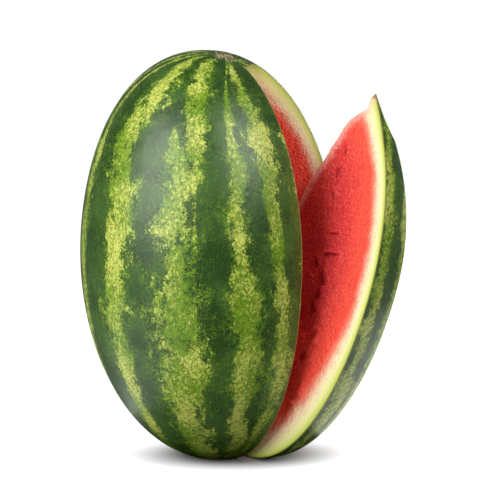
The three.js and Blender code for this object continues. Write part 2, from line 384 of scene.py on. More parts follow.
class MelonShape:
    """How far the skin stands from the melon's axis, in millimetres."""

    def __init__(self, sizes):
        self.girth = sizes.girth_radius / MM
        self.top = sizes.top_rise / MM
        self.bottom = sizes.bottom_drop / MM
        self.widest = self.bottom - FLOOR_TRIM
        self.near = sizes.near_cut
        self.far = sizes.far_cut
        self.make_arc_table()

    def make_arc_table(self):
        polar = np.linspace(0, math.pi, ARC_STEPS + 1)
        cosine = -np.cos(polar)
        self.arc_heights = np.where(cosine > 0, self.top * cosine, self.bottom * cosine)
        reach = self.reach(self.arc_heights)
        steps = np.hypot(np.diff(self.arc_heights), np.diff(reach))
        self.arcs = np.concatenate([[0], np.cumsum(steps)])

    def arc_of(self, height):
        return np.interp(height, self.arc_heights, self.arcs)

    def height_of(self, arc):
        return np.interp(arc, self.arcs, self.arc_heights)

    def reach(self, height):
        share = np.where(height > 0, height / self.top, -height / self.bottom)
        sine = np.sqrt(np.clip(1 - share ** 2, 0, 1))
        return self.girth * sine ** np.where(height > 0, TOP_ROUNDNESS, BOTTOM_ROUNDNESS)

    def axis_shift(self, height):
        upper = TOP_LEAN * (height / self.top) ** 2
        lower = BOTTOM_LEAN * (height / self.bottom) ** 2
        return np.where(height > 0, upper, lower)

    def radius(self, azimuth, height, flare=0.0):
        slow = np.sin(2 * azimuth + height / SLOW_WAVE)
        quick = 0.7 * np.sin(5 * azimuth - height / QUICK_WAVE + 1)
        reach = self.reach(height)
        fade = np.minimum(1, reach / POLE_FADE)
        rise = np.maximum(0, (height - FLARE_START) / FLARE_HEIGHT)
        swelling = flare * rise ** 2 * fade
        return reach * (1 + UNEVENNESS * (slow + quick)) + swelling - SKIN_INSET * fade

    def skin_point(self, azimuth, height):
        radius = self.radius(azimuth, height)
        x = radius * np.sin(azimuth) + self.axis_shift(height)
        y = -radius * np.cos(azimuth)
        return np.stack([x, y, height + self.widest], -1)

    def azimuth_on_ray(self, ray, height):
        """The skin's azimuth where a ray from the axis leaves the melon."""
        azimuth = ray
        for _ in range(4):
            offset = self.axis_shift(height) * np.cos(ray) / np.maximum(1, self.radius(azimuth, height))
            azimuth = ray - np.arcsin(np.clip(offset, -1, 1))
        return azimuth

    def reach_behind(self, cut, thickness, height, flare=0.0):
        """Reach along a cut at which a point this far behind the cut meets the skin."""
        shift = self.axis_shift(height)
        along = shift * np.sin(cut)
        across = shift * np.cos(cut)
        reach = self.reach(height)
        for _ in range(5):
            x = reach * np.sin(cut) + thickness * np.cos(cut)
            y = -reach * np.cos(cut) + thickness * np.sin(cut)
            radius = self.radius(np.arctan2(x - shift, -y), height, flare)
            reach = along + np.sqrt(np.maximum(0, radius ** 2 - (thickness - across) ** 2))
        return reach

    def place(self, cut, reach, thickness, height):
        """The point at a reach along a cut, a thickness behind it, at a height."""
        x = reach * np.sin(cut) + thickness * np.cos(cut)
        y = -reach * np.cos(cut) + thickness * np.sin(cut)
        z = height + self.widest + 0 * x
        return np.stack([x, y, z], -1)


def soft_floor(value, floor, softness):
    """The value, bent softly so that it stays above the floor."""
    return floor + softness * np.log1p(np.exp((value - floor) / softness))


def notch_edge(shape, height):
    """Reach of the line in which the notch's near cut ends."""
    return soft_floor(NOTCH_TOP_REACH - NOTCH_SLOPE * (shape.top - height), CORE_STOP, CORE_SOFTNESS)


def slice_edge(shape, height):
    """Reach of the slice's inner edge before it was torn."""
    return soft_floor(SLICE_TOP_REACH - SLICE_SLOPE * (shape.top - height), CORE_STOP, CORE_SOFTNESS)


def torn_edge(shape, height):
    """Reach of the slice's inner edge, torn back under the tip."""
    short_wave, long_wave = EDGE_WAVE_LENGTHS
    wave = EDGE_WAVE * np.sin(height / short_wave) * np.sin(height / long_wave)
    torn = np.clip((height - TORN_FOOT) / TORN_HEIGHT, 0, 1)
    edge = slice_edge(shape, np.minimum(height, TORN_FOOT))
    return edge + wave + TORN_REACH * torn + np.maximum(0, height - TIP_START)


def back_thickness(shape, angle, reach, height):
    """How far the slice's back face lies behind its front face."""
    edge = slice_edge(shape, np.minimum(height, TORN_FOOT))
    wedge = EDGE_THICKNESS + (reach - edge) * math.tan(angle)
    pared = EDGE_THICKNESS + TIP_SPREAD * np.maximum(0, TIP_HEIGHT - height) ** 2
    return np.maximum(EDGE_THICKNESS, np.minimum(wedge, pared))


def wall_share(shape, ray):
    """Reach of the notch's inner wall along a ray, as a share of its reach at the near cut."""
    start = np.array([math.sin(shape.near), -math.cos(shape.near)])
    end = FAR_REACH_SHARE * np.array([math.sin(shape.far), -math.cos(shape.far)])
    run = end - start
    crossing = start[0] * run[1] - start[1] * run[0]
    return crossing / (np.sin(ray) * run[1] + np.cos(ray) * run[0])


def notch_top(shape, ray):
    """Height at which the notch's inner wall comes out through the skin."""
    low = np.full_like(ray, LOWEST_NOTCH_TOP)
    high = np.full_like(ray, shape.top - 1)
    for _ in range(HALVINGS):
        middle = (low + high) / 2
        inside = shape.reach_behind(ray, 0.0, middle) > notch_edge(shape, middle) * wall_share(shape, ray)
        low = np.where(inside, middle, low)
        high = np.where(inside, high, middle)
    return low


# Natural unevenness

def lattice_value(cell):
    """A scattered value from 0 to 1 for each lattice cell, the same each time."""
    mixed = np.sin(cell @ np.array([127.1, 311.7, 74.7])) * 43758.5453
    return mixed - np.floor(mixed)


def lumps(points, size):
    """Smooth lumps of about this size, from 0 to 1."""
    scaled = points / size
    cell = np.floor(scaled)
    part = scaled - cell
    part = part * part * (3 - 2 * part)
    total = np.zeros(len(points))
    for corner in np.ndindex(2, 2, 2):
        offset = np.array(corner, float)
        weight = np.prod(np.where(offset > 0, part, 1 - part), axis=1)
        total += weight * lattice_value(cell + offset)
    return total


def relief(points, kind):
    height, size = kind
    return height * lumps(points, size)


def smooth_step(low, high, value):
    part = np.clip((value - low) / (high - low), 0, 1)
    return part * part * (3 - 2 * part)


def distance_to_line(points, line):
    """Distance from each point to the nearest point of a line."""
    flat = points.reshape(-1, 3)
    nearest = np.full(len(flat), 1e9)
    for start in range(0, len(line), LINE_POINTS_AT_ONCE):
        stretch = line[None, start:start + LINE_POINTS_AT_ONCE]
        gap = np.linalg.norm(flat[:, None] - stretch, axis=2)
        nearest = np.minimum(nearest, gap.min(axis=1))
    return nearest.reshape(points.shape[:-1])


# Grids of points sewn into one mesh

class Patchwork:
    """Collects grids of points, each with its own finish, and sews them into one mesh."""

    def __init__(self):
        self.points = []
        self.faces = []
        self.finishes = []
        self.depths = []
        self.trims = []
        self.edges = []
        self.count = 0

    def add(self, grid, finish, depth=None, trim=None, edge=None):
        rows, columns = grid.shape[:2]
        index = self.count + np.arange(rows * columns).reshape(rows, columns)
        corners = [index[:-1, :-1], index[:-1, 1:], index[1:, 1:], index[1:, :-1]]
        faces = np.stack(corners, -1).reshape(-1, 4)
        self.points.append(grid.reshape(-1, 3))
        self.faces.append(faces)
        self.finishes.append(np.full(len(faces), finish))
        self.depths.append(np.zeros(rows * columns) if depth is None else depth.ravel())
        self.trims.append(np.zeros(rows * columns) if trim is None else trim.ravel())
        self.edges.append(np.full(rows * columns, FAR_FROM_EDGE) if edge is None else edge.ravel())
        self.count += rows * columns

    def bmesh(self):
        mesh = bpy.data.meshes.new("patchwork")
        mesh.from_pydata(np.concatenate(self.points), [], np.concatenate(self.faces).tolist())
        mesh.polygons.foreach_set("material_index", np.concatenate(self.finishes))
        store(mesh, "depth", np.concatenate(self.depths))
        store(mesh, "trim", np.concatenate(self.trims))
        store(mesh, "edge", np.concatenate(self.edges))
        sewn = bmesh.new()
        sewn.from_mesh(mesh)
        bpy.data.meshes.remove(mesh)
        bmesh.ops.remove_doubles(sewn, verts=sewn.verts, dist=SEAM_GAP)
        return sewn


def store(mesh, name, values, kind="FLOAT"):
    """Stores a value for every point, under a name that the finishes read."""
    layer = mesh.attributes.get(name) or mesh.attributes.new(name, kind, "POINT")
    field = "vector" if kind == "FLOAT_VECTOR" else "value"
    layer.data.foreach_set(field, np.asarray(values, np.float32).ravel())


def read(mesh, name):
    values = np.zeros(len(mesh.vertices), np.float32)
    mesh.attributes[name].data.foreach_get("value", values)
    return values.astype(float)


def close_and_fill(sewn):
    """Fills what is still open, and turns every face outwards."""
    open_edges = [edge for edge in sewn.edges if edge.is_boundary]
    if open_edges:
        bmesh.ops.holes_fill(sewn, edges=open_edges, sides=0)
    bmesh.ops.triangulate(sewn, faces=[face for face in sewn.faces if len(face.verts) > 4])
    bmesh.ops.recalc_face_normals(sewn, faces=sewn.faces)


def mesh_points(mesh):
    points = np.zeros(len(mesh.vertices) * 3)
    mesh.vertices.foreach_get("co", points)
    return points.reshape(-1, 3)


def mesh_normals(mesh):
    normals = np.zeros(len(mesh.vertices) * 3)
    mesh.vertex_normals.foreach_get("vector", normals)
    return normals.reshape(-1, 3)


# Hollows, relief and skin pattern, worked out for every point

def seed_hollow(shape, cut, seed, number, thickness=0.0, turn=0.0):
    """Centre, two directions in the cut face, half sizes and darkness of one seed hollow."""
    reach, height, size, darkness = seed
    centre = shape.place(cut, float(reach), thickness, float(height))
    side = cut + turn
    across = np.array([math.sin(side), -math.cos(side), 0.0])
    lean = SEED_LEAN * math.sin(number * SEED_LEAN_STEP)
    upward = np.array([0.0, 0.0, 1.0])
    long_way = upward * math.cos(lean) + across * math.sin(lean)
    short_way = across * math.cos(lean) - upward * math.sin(lean)
    return centre, short_way, long_way, SEED_WIDTH * size, SEED_LENGTH * size, darkness


def seed_hollows(shape, cut, seeds):
    return [seed_hollow(shape, cut, seed, number) for number, seed in enumerate(seeds)]


def crack_hollow(shape, cut, crack):
    """A hollow like a seed's, but long, narrow and nearly level."""
    centre, across, upward, _, length, darkness = seed_hollow(shape, cut, crack, 0)
    long_way = across * math.cos(CRACK_LEAN) + upward * math.sin(CRACK_LEAN)
    short_way = upward * math.cos(CRACK_LEAN) - across * math.sin(CRACK_LEAN)
    return centre, short_way, long_way, CRACK_WIDTH, length / SEED_LENGTH, darkness


def slice_hollows(shape, angle):
    """Seed hollows and cracks of the front face, and seed hollows of the back face."""
    hollows = seed_hollows(shape, shape.near, SLICE_SEEDS)
    hollows += [crack_hollow(shape, shape.near, crack) for crack in SLICE_CRACKS]
    for number, seed in enumerate(BACK_SEEDS):
        thickness = back_thickness(shape, angle, float(seed[0]), float(seed[1]))
        hollows.append(seed_hollow(shape, shape.near, seed, number, thickness, angle))
    return hollows


def hollow_depth(points, hollow):
    """How deep a hollow is at each point, from 0 to 1, with a worn rim; the flesh finish paints shade into
    the hollow by this value.
    """
    centre, short_way, long_way, width, length, darkness = hollow
    offset = points - centre
    near = np.linalg.norm(offset, axis=1) < HOLLOW_SPREAD * length
    ragged = 1 + RIM_RAGGEDNESS * (lumps(points, RIM_LUMP_SIZE) - 0.5)
    spread = np.hypot(offset @ short_way / width, offset @ long_way / length) * ragged
    return np.where(near, darkness * np.sqrt(np.clip(1 - spread ** 2, 0, 1)), 0)


def scar_distance(shape, points):
    """Distance from the stem scar and direction round it, for each point."""
    x, y = SCAR_PLACE
    azimuth = math.atan2(x - TOP_LEAN, -y)
    height = shape.top * math.sqrt(1 - (math.hypot(x - TOP_LEAN, y) / shape.girth) ** (2 / TOP_ROUNDNESS))
    centre = shape.skin_point(azimuth, np.float64(height))
    offset = points - centre
    return np.linalg.norm(offset, axis=1), np.arctan2(offset[:, 1], offset[:, 0])


def scar_rise(distance, direction):
    """Height of the scar's dimple and corky stub against the skin."""
    bowl = -DIMPLE_DEPTH * np.sqrt(np.clip(1 - (distance / DIMPLE_RADIUS) ** 2, 0, 1))
    wide_lobe, narrow_lobe = BUTTON_LOBES
    lump = 1 + wide_lobe * np.sin(3 * direction) + narrow_lobe * np.sin(7 * direction + 1)
    reaches, rises = zip(*BUTTON_OUTLINE)
    stub = BUTTON_HEIGHT * np.interp(distance / BUTTON_RADIUS / lump, reaches, rises)
    return np.maximum(bowl, stub)


def stripe_offset(shape, points, centre_azimuth):
    """Distance round the skin from a stripe's middle, about a pole that moves to the scar at the top."""
    height = points[:, 2] - shape.widest
    pull = smooth_step(POLE_MOVE_START, shape.top, height)
    pole_x = shape.axis_shift(height) + (SCAR_PLACE[0] - TOP_LEAN) * pull
    pole_y = SCAR_PLACE[1] * pull
    azimuth = np.arctan2(points[:, 0] - pole_x, pole_y - points[:, 1])
    turn = (azimuth - centre_azimuth + math.pi) % (2 * math.pi) - math.pi
    return turn * np.hypot(points[:, 0] - pole_x, points[:, 1] - pole_y)


def stripe_strength(shape, points):
    """1 in the middle of a light stripe, 0 at its edge, below 0 between stripes."""
    height = points[:, 2] - shape.widest
    strength = np.full(len(points), -1.0)
    for stripe in STRIPES:
        levels, azimuths, widths = zip(*stripe)
        middle = np.radians(np.interp(height, levels, azimuths))
        width = np.interp(height, levels, widths)
        offset = np.abs(stripe_offset(shape, points, middle))
        strength = np.maximum(strength, 1 - offset / width)
    for number, azimuth in enumerate(BACK_STRIPES):
        middle = math.radians(azimuth) + BACK_SWAY * np.sin(height / BACK_SWAY_LENGTH + 2 * number)
        narrowing = np.clip((shape.top + 4 - np.abs(height)) / BACK_STRIPE_ENDS, 0.15, 1)
        swell = 1 + BACK_SWELL * np.sin(height / BACK_SWELL_LENGTH + 3 * number)
        width = BACK_STRIPE_WIDTH * narrowing * swell
        offset = np.abs(stripe_offset(shape, points, middle))
        strength = np.maximum(strength, 1 - offset / width)
    return strength


def patch_shade(shape, points):
    """Above 0 where the light stripes are paler than usual, below 0 where they are greener."""
    shade = np.zeros(len(points))
    for height, azimuth, radius, amount in SHADE_PATCHES:
        centre = shape.skin_point(math.radians(azimuth), np.float64(height))
        shade += amount * smooth_step(radius, 0, np.linalg.norm(points - centre, axis=1))
    return shade


def carve(shape, mesh, hollows):
    """Moves the mesh's points in for hollows, grain, dents and scar, and stores what the finishes need."""
    points = mesh_points(mesh)
    normals = mesh_normals(mesh)
    depth = read(mesh, "depth")
    height = points[:, 2] - shape.widest
    thicker = TOP_RIND * smooth_step(*TOP_RIND_RISE, height)
    thicker += BOTTOM_RIND * smooth_step(*BOTTOM_RIND_DROP, -height)
    store(mesh, "depth", depth / (1 + thicker))
    hollow = np.zeros(len(points))
    for one in hollows:
        hollow = np.maximum(hollow, hollow_depth(points, one))
    fleshy = smooth_step(*FLESH_START, depth)
    grain = relief(points, FINE_GRAIN) + relief(points * COARSE_GRAIN_STRETCH, COARSE_GRAIN)
    skin = smooth_step(1, 0, depth)
    dents = relief(points, WIDE_DENTS) + relief(points, SMALL_DENTS)
    distance, direction = scar_distance(shape, points)
    inward = SEED_DEPTH * hollow * fleshy + grain * fleshy + dents * skin
    inward -= scar_rise(distance, direction) * skin
    lobed_distance = distance + CORK_LOBE * lumps(points, CORK_LUMP_SIZE) * np.cos(4 * direction)
    store(mesh, "grown", points * MM, "FLOAT_VECTOR")
    store(mesh, "stripe", stripe_strength(shape, points) - STRIPE_LOSS * smooth_step(*STRIPE_FADE, distance))
    store(mesh, "shade", patch_shade(shape, points))
    # The hollows' depth, which the flesh finish also uses to paint shade into them
    store(mesh, "hollow", hollow)
    store(mesh, "scar", smooth_step(*CORK_FADE, lobed_distance))
    return points - normals * inward[:, None]


# The melon

def fruit_rays(shape):
    """Directions of the skin's columns: all round the back, and over the top of the notch."""
    back = np.linspace(shape.far, shape.near + 2 * math.pi, FRUIT_COLUMNS + 1)
    front = np.linspace(shape.near, shape.far, NOTCH_COLUMNS + 1)
    return back, front


def column_heights(shape, tops):
    """Heights of a skin column's rows: evenly up to the notch's top, then evenly to the pole."""
    floor = shape.arc_of(-shape.widest)
    share = np.linspace(0, 1, LOWER_ROWS + 1)[:, None]
    lower = floor + (shape.arc_of(tops) - floor) * share
    share = np.linspace(0, 1, UPPER_ROWS + 1)[1:, None]
    upper = shape.arc_of(tops) + (shape.arcs[-1] - shape.arc_of(tops)) * share
    return shape.height_of(np.concatenate([lower, upper]))


def skin_grid(shape, rays, tops):
    """The skin's columns, on the rays up to the notch's top and gathered at the pole above it."""
    heights = column_heights(shape, tops)
    wide_rays = rays[None] + 0 * heights
    exact = shape.azimuth_on_ray(wide_rays, heights)
    above = np.clip((np.arange(len(heights)) - LOWER_ROWS) / UPPER_ROWS, 0, 1)[:, None]
    azimuths = wide_rays + (exact - wide_rays) * (1 - above)
    return shape.skin_point(azimuths, heights)


def cut_face(shape, cut, edge_share, outside):
    """A flat cut from the notch's inner wall to the skin, on the rows of a skin column."""
    lower = outside[:LOWER_ROWS + 1]
    heights = lower[:, 2] - shape.widest
    inner = notch_edge(shape, heights) * edge_share
    outer = np.hypot(lower[:, 0], lower[:, 1])
    share = np.linspace(0, 1, FACE_COLUMNS + 1)[None]
    reach = inner[:, None] + (outer - inner)[:, None] * share
    grid = shape.place(cut, reach, 0.0, heights[:, None])
    grid[:, -1] = lower
    return grid


def wall_grid(shape, rays, tops, near_face, far_face):
    """The notch's narrow inner wall, on the same rays as the skin above it."""
    floor = shape.arc_of(-shape.widest)
    share = np.linspace(0, 1, LOWER_ROWS + 1)[:, None]
    heights = shape.height_of(floor + (shape.arc_of(tops) - floor) * share)
    reach = notch_edge(shape, heights) * wall_share(shape, rays)[None]
    grid = shape.place(rays[None], reach, 0.0, heights)
    grid[:, 0] = near_face[:, 0]
    grid[:, -1] = far_face[:, 0]
    return grid


def base_grid(back, near_face, wall, far_face):
    """The flat spot: rings that shrink from the foot's edge to a point behind the axis."""
    loop = [back[0], near_face[0, ::-1][1:], wall[0][1:], far_face[0][1:]]
    edge = np.concatenate(loop)
    middle = np.array([*BASE_MIDDLE, edge[0, 2]])
    share = np.linspace(0, 1, BASE_RINGS + 1)[:, None, None]
    return edge[None] + (middle - edge[None]) * share


def fruit_bmesh(shape):
    back_rays, front_rays = fruit_rays(shape)
    front_tops = notch_top(shape, front_rays)
    ends = [shape.far, shape.near + 2 * math.pi]
    back_tops = np.interp(back_rays, ends, [front_tops[-1], front_tops[0]])
    back = skin_grid(shape, back_rays, back_tops)
    front = skin_grid(shape, front_rays, front_tops)
    near_face = cut_face(shape, shape.near, 1.0, back[:, -1])
    far_face = cut_face(shape, shape.far, FAR_REACH_SHARE, back[:, 0])
    wall = wall_grid(shape, front_rays, front_tops, near_face, far_face)
    cut_line = np.concatenate([back[:LOWER_ROWS + 1, 0], back[:LOWER_ROWS + 1, -1], front[LOWER_ROWS]])
    work = Patchwork()
    work.add(back, 0, trim=distance_to_line(back, cut_line))
    work.add(front[LOWER_ROWS:], 0, trim=distance_to_line(front[LOWER_ROWS:], cut_line))
    work.add(near_face, 1, distance_to_line(near_face, back[:, -1]))
    work.add(far_face, 1, distance_to_line(far_face, back[:, 0]))
    work.add(wall, 1, distance_to_line(wall, np.concatenate([back[:, 0], back[:, -1], front[LOWER_ROWS]])))
    work.add(base_grid(back, near_face, wall, far_face), 0)
    return work.bmesh()


# The slice

def slice_tip(shape):
    """Height at which the slice's inner edge meets its skin."""
    low, high = LOWEST_TIP, shape.top - 2
    for _ in range(HALVINGS):
        middle = (low + high) / 2
        wide = shape.reach_behind(shape.near, 0.0, np.float64(middle), FLARE) > torn_edge(shape, middle)
        low, high = (middle, high) if wide else (low, middle)
    return low


def slice_heights(shape):
    """Heights of the slice's rows, from its foot to its tip."""
    low_end = shape.arc_heights[:FOOT_SEARCH]
    foot = np.interp(SLICE_FOOT_RADIUS, shape.reach(low_end), low_end)
    arcs = np.linspace(shape.arc_of(foot), shape.arc_of(slice_tip(shape)), SLICE_ROWS + 1)
    return shape.height_of(arcs)


def back_edge(shape, angle, heights):
    """Reach and thickness at which the slice's back face meets the skin."""
    reach = shape.reach_behind(shape.near, 0.0, heights, FLARE)
    for _ in range(12):
        thickness = back_thickness(shape, angle, reach, heights)
        reach = shape.reach_behind(shape.near, thickness, heights, FLARE)
    return reach, thickness


def between(start, end, count):
    """Columns that lead evenly from one edge to the other."""
    share = np.linspace(0, 1, count + 1)[None]
    return start[:, None] + (end - start)[:, None] * share


def slice_bmesh(shape, angle):
    heights = slice_heights(shape)
    level = heights[:, None]
    inner = torn_edge(shape, heights)
    rough = EDGE_TEAR * lumps(shape.place(shape.near, inner, 0.0, heights), EDGE_TEAR_SIZE)
    outer = shape.reach_behind(shape.near, 0.0, heights, FLARE)
    inner = np.minimum(inner + rough, outer)
    front = shape.place(shape.near, between(inner, outer, SLICE_FACE_COLUMNS), 0.0, level)
    back_reach, back_deep = back_edge(shape, angle, heights)
    back_reach = np.maximum(back_reach, inner)
    reach = between(inner, back_reach, SLICE_FACE_COLUMNS)
    back = shape.place(shape.near, reach, back_thickness(shape, angle, reach, level), level)
    deep = between(0 * back_deep, back_deep, SLICE_SKIN_COLUMNS)
    skin = shape.place(shape.near, shape.reach_behind(shape.near, deep, level, FLARE), deep, level)
    skin[:, 0] = front[:, -1]
    skin[:, -1] = back[:, -1]
    share = np.linspace(0, 1, SLICE_EDGE_COLUMNS + 1)[None, :, None]
    edge = front[:, :1] + (back[:, :1] - front[:, :1]) * share
    skin_lines = np.concatenate([front[:, -1], back[:, -1]])
    edge_lines = np.concatenate([front[:, 0], back[:, 0]])
    work = Patchwork()
    for grid in (front, back, edge):
        work.add(grid, 1, distance_to_line(grid, skin_lines), edge=distance_to_line(grid, edge_lines))
    work.add(skin, 0, trim=distance_to_line(skin, skin_lines), edge=distance_to_line(skin, edge_lines))
    return work.bmesh()


def slice_matrix(sizes):
    """How the slice stands: turned about the melon's axis, then tilted about a floor line."""
    tilt_line = Vector((math.cos(TILT_LINE), math.sin(TILT_LINE), 0))
    turned = Matrix.Rotation(sizes.turn, 4, "Z")
    tilted = Matrix.Rotation(sizes.tilt, 4, tilt_line)
    return Matrix.Translation(SLICE_PLACE) @ tilted @ turned


def cut_at_floor(mesh):
    """Trims the placed slice flat at the floor."""
    sewn = bmesh.new()
    sewn.from_mesh(mesh)
    everything = sewn.verts[:] + sewn.edges[:] + sewn.faces[:]
    bmesh.ops.bisect_plane(
        sewn, geom=everything, plane_co=(0, 0, 0), plane_no=(0, 0, 1), clear_inner=True, dist=FLOOR_CUT_GAP)
    close_and_fill(sewn)
    sewn.to_mesh(mesh)
    sewn.free()


def closed_mesh(sewn, name):
    """The sewn patches, closed, as a mesh."""
    close_and_fill(sewn)
    mesh = bpy.data.meshes.new(name)
    sewn.to_mesh(mesh)
    sewn.free()
    return mesh


def finish_object(name, mesh, points, matrix, materials):
    """Puts the worked-out points into the mesh, in metres where the part stands, and links the object."""
    homogeneous = np.c_[points, np.ones(len(points))] @ np.array(matrix).T
    placed = (homogeneous[:, :3] + AXIS_PLACE) * MM
    mesh.vertices.foreach_set("co", placed.ravel())
    mesh.update()
    for material in materials:
        mesh.materials.append(material)
    piece = bpy.data.objects.new(name, mesh)
    bpy.context.collection.objects.link(piece)
    return piece


def smooth_faces(mesh):
    mesh.shade_smooth()
    mesh.set_sharp_from_angle(angle=SHARP_ANGLE)


# Finishes

class Finish:
    """A material's node tree with short calls for the nodes that the finishes use."""

    def __init__(self, name):
        self.material = bpy.data.materials.new(name)
        self.material.use_nodes = True
        self.tree = self.material.node_tree
        self.shader = self.tree.nodes["Principled BSDF"]

    def node(self, kind, **settings):
        made = self.tree.nodes.new(kind)
        for key, value in settings.items():
            setattr(made, key, value)
        return made

    def feed(self, socket, value):
        if isinstance(value, bpy.types.NodeSocket):
            self.tree.links.new(value, socket)
        else:
            socket.default_value = value

    def attribute(self, name, output="Fac"):
        return self.node("ShaderNodeAttribute", attribute_name=name).outputs[output]

    def math(self, operation, first, second=0.0, clamp=False):
        made = self.node("ShaderNodeMath", operation=operation, use_clamp=clamp)
        self.feed(made.inputs[0], first)
        self.feed(made.inputs[1], second)
        return made.outputs[0]

    def add(self, first, second):
        return self.math("ADD", first, second)

    def times(self, first, second):
        return self.math("MULTIPLY", first, second)

    def stretched(self, place, scale):
        made = self.node("ShaderNodeVectorMath", operation="MULTIPLY")
        self.feed(made.inputs[0], place)
        made.inputs[1].default_value = scale
        return made.outputs[0]

    def noise(self, place, size, detail=3.0, roughness=0.55, distortion=0.0):
        made = self.node("ShaderNodeTexNoise")
        self.feed(made.inputs["Vector"], place)
        made.inputs["Scale"].default_value = 1 / (size * MM)
        made.inputs["Detail"].default_value = detail
        made.inputs["Roughness"].default_value = roughness
        made.inputs["Distortion"].default_value = distortion
        return made.outputs["Fac"]

    def cells(self, place, size):
        made = self.node("ShaderNodeTexVoronoi")
        self.feed(made.inputs["Vector"], place)
        made.inputs["Scale"].default_value = 1 / (size * MM)
        return made.outputs["Distance"]

    def ranged(self, value, low, high, to_low=0.0, to_high=1.0):
        made = self.node("ShaderNodeMapRange", interpolation_type="SMOOTHSTEP")
        self.feed(made.inputs["Value"], value)
        for name, number in zip(("From Min", "From Max", "To Min", "To Max"), (low, high, to_low, to_high)):
            made.inputs[name].default_value = number
        return made.outputs["Result"]

    def mix(self, factor, first, second):
        made = self.node("ShaderNodeMix", data_type="RGBA")
        self.feed(made.inputs["Factor"], factor)
        self.feed(made.inputs["A"], first if isinstance(first, bpy.types.NodeSocket) else (*first, 1))
        self.feed(made.inputs["B"], second if isinstance(second, bpy.types.NodeSocket) else (*second, 1))
        return made.outputs["Result"]

    def ramp(self, value, stops):
        made = self.node("ShaderNodeValToRGB")
        elements = made.color_ramp.elements
        for _ in range(len(stops) - 2):
            elements.new(0.5)
        for element, (position, colour) in zip(elements, stops):
            element.position = position
            element.color = (*colour, 1)
        self.feed(made.inputs["Fac"], value)
        return made.outputs["Color"]

    def bump(self, height, strength, distance, below=None):
        made = self.node("ShaderNodeBump")
        made.inputs["Strength"].default_value = strength
        made.inputs["Distance"].default_value = distance * MM
        self.feed(made.inputs["Height"], height)
        if below is not None:
            self.feed(made.inputs["Normal"], below)
        return made.outputs["Normal"]


def swing(finish, place, size, amount, detail=3, roughness=0.55, distortion=0.0):
    """Noise that swings evenly below and above zero."""
    noise = finish.noise(place, size, detail, roughness, distortion)
    return finish.times(finish.math("SUBTRACT", noise, 0.5), amount)


def squiggles(finish, place, size, width):
    """Winding lines: 1 on a line, 0 between lines."""
    level = swing(finish, place, size, amount=1.0, detail=2, roughness=0.5, distortion=0.6)
    return finish.ranged(finish.math("ABSOLUTE", level), width, width * 0.2)


def dimmed(colour, share):
    return tuple(share * part for part in colour)


def ragged_stripe(finish, grown, stretched, shade):
    """The stripes' strength, with lobes, tatters and feathers along their edges."""
    stripe = finish.add(finish.attribute("stripe"), finish.times(shade, 0.6))
    lobes = swing(finish, stretched, size=15, amount=3.0, detail=2)
    tatters = swing(finish, stretched, size=5.5, amount=2.6, detail=3, roughness=0.6)
    feathers = swing(finish, grown, size=1.6, amount=2.2, detail=2, roughness=0.6)
    return finish.add(stripe, finish.add(lobes, finish.add(tatters, feathers)))


def light_stripe_colour(finish, grown, stretched, shade, ragged, colours):
    """Mottled lime, palest in the middle of a stripe, with darker veins."""
    drift = swing(finish, finish.stretched(grown, (1, 1, 0.5)), size=30, amount=3.0, detail=1)
    mottle = finish.add(swing(finish, stretched, size=2.1, amount=4.4, detail=3, roughness=0.7), drift)
    paleness = finish.add(finish.times(ragged, 0.2), finish.add(mottle, shade))
    light = finish.mix(finish.ranged(paleness, -0.35, 0.85), colours.lime, colours.pale)
    veins = finish.times(squiggles(finish, stretched, size=2.9, width=0.07), 0.7)
    return finish.mix(veins, light, dimmed(colours.lime, 0.4))


def ground_colour(finish, grown, shade, ragged, colours):
    """Two dark greens, with lime threads near the stripes and lime specks all over."""
    drift = finish.add(swing(finish, grown, size=30, amount=1.0), finish.times(shade, 0.3))
    ground = finish.mix(finish.ranged(drift, -0.12, 0.12), colours.deep, colours.dark)
    near_stripe = finish.ranged(ragged, -1.2, 0.0, 0.06, 0.6)
    threads = finish.times(squiggles(finish, grown, size=3.6, width=0.06), near_stripe)
    ground = finish.mix(threads, ground, colours.lime)
    flecks = finish.noise(grown, size=1.3, detail=2, roughness=0.6)
    return finish.mix(finish.ranged(flecks, 0.56, 0.72, 0.0, 0.42), ground, colours.lime)


def striped_skin_colour(finish, grown, colours):
    """Light mottled stripes with feathered edges over two dark greens."""
    stretched = finish.stretched(grown, (1, 1, 0.7))
    shade = finish.attribute("shade")
    ragged = ragged_stripe(finish, grown, stretched, shade)
    light = light_stripe_colour(finish, grown, stretched, shade, ragged, colours)
    ground = ground_colour(finish, grown, shade, ragged, colours)
    return finish.mix(finish.ranged(ragged, -0.08, 0.3), ground, light)


def cork_colour(finish, grown, grain, colours):
    """Dry cork with dark pits, brown crust and a little green."""
    cork = finish.mix(finish.ranged(grain, 0.42, 0.6), CORK_PITS, colours.cork)
    lumps_of_crust = finish.noise(grown, size=5.5, detail=2)
    cork = finish.mix(finish.ranged(lumps_of_crust, 0.5, 0.62), cork, CORK_CRUST)
    return finish.mix(finish.ranged(lumps_of_crust, 0.46, 0.34), cork, CORK_GREEN)


def skin_roughness(finish, grown, corky):
    """Waxy, with a duller bloom in places, and dry on the cork."""
    bloom = finish.noise(grown, size=26, detail=3)
    waxy = finish.add(finish.times(bloom, 0.14), 0.3)
    return finish.math("ADD", waxy, finish.times(corky, 0.4), clamp=True)


def skin_bumps(finish, grown, grain, corky):
    """Pores, then wide ripples, then the cork's grain."""
    pores = finish.bump(finish.noise(grown, size=1.3, detail=3), strength=0.35, distance=0.25)
    ripples = finish.bump(finish.noise(grown, size=7, detail=2), strength=0.3, distance=0.8, below=pores)
    return finish.bump(finish.times(grain, corky), strength=0.8, distance=1.2, below=ripples)


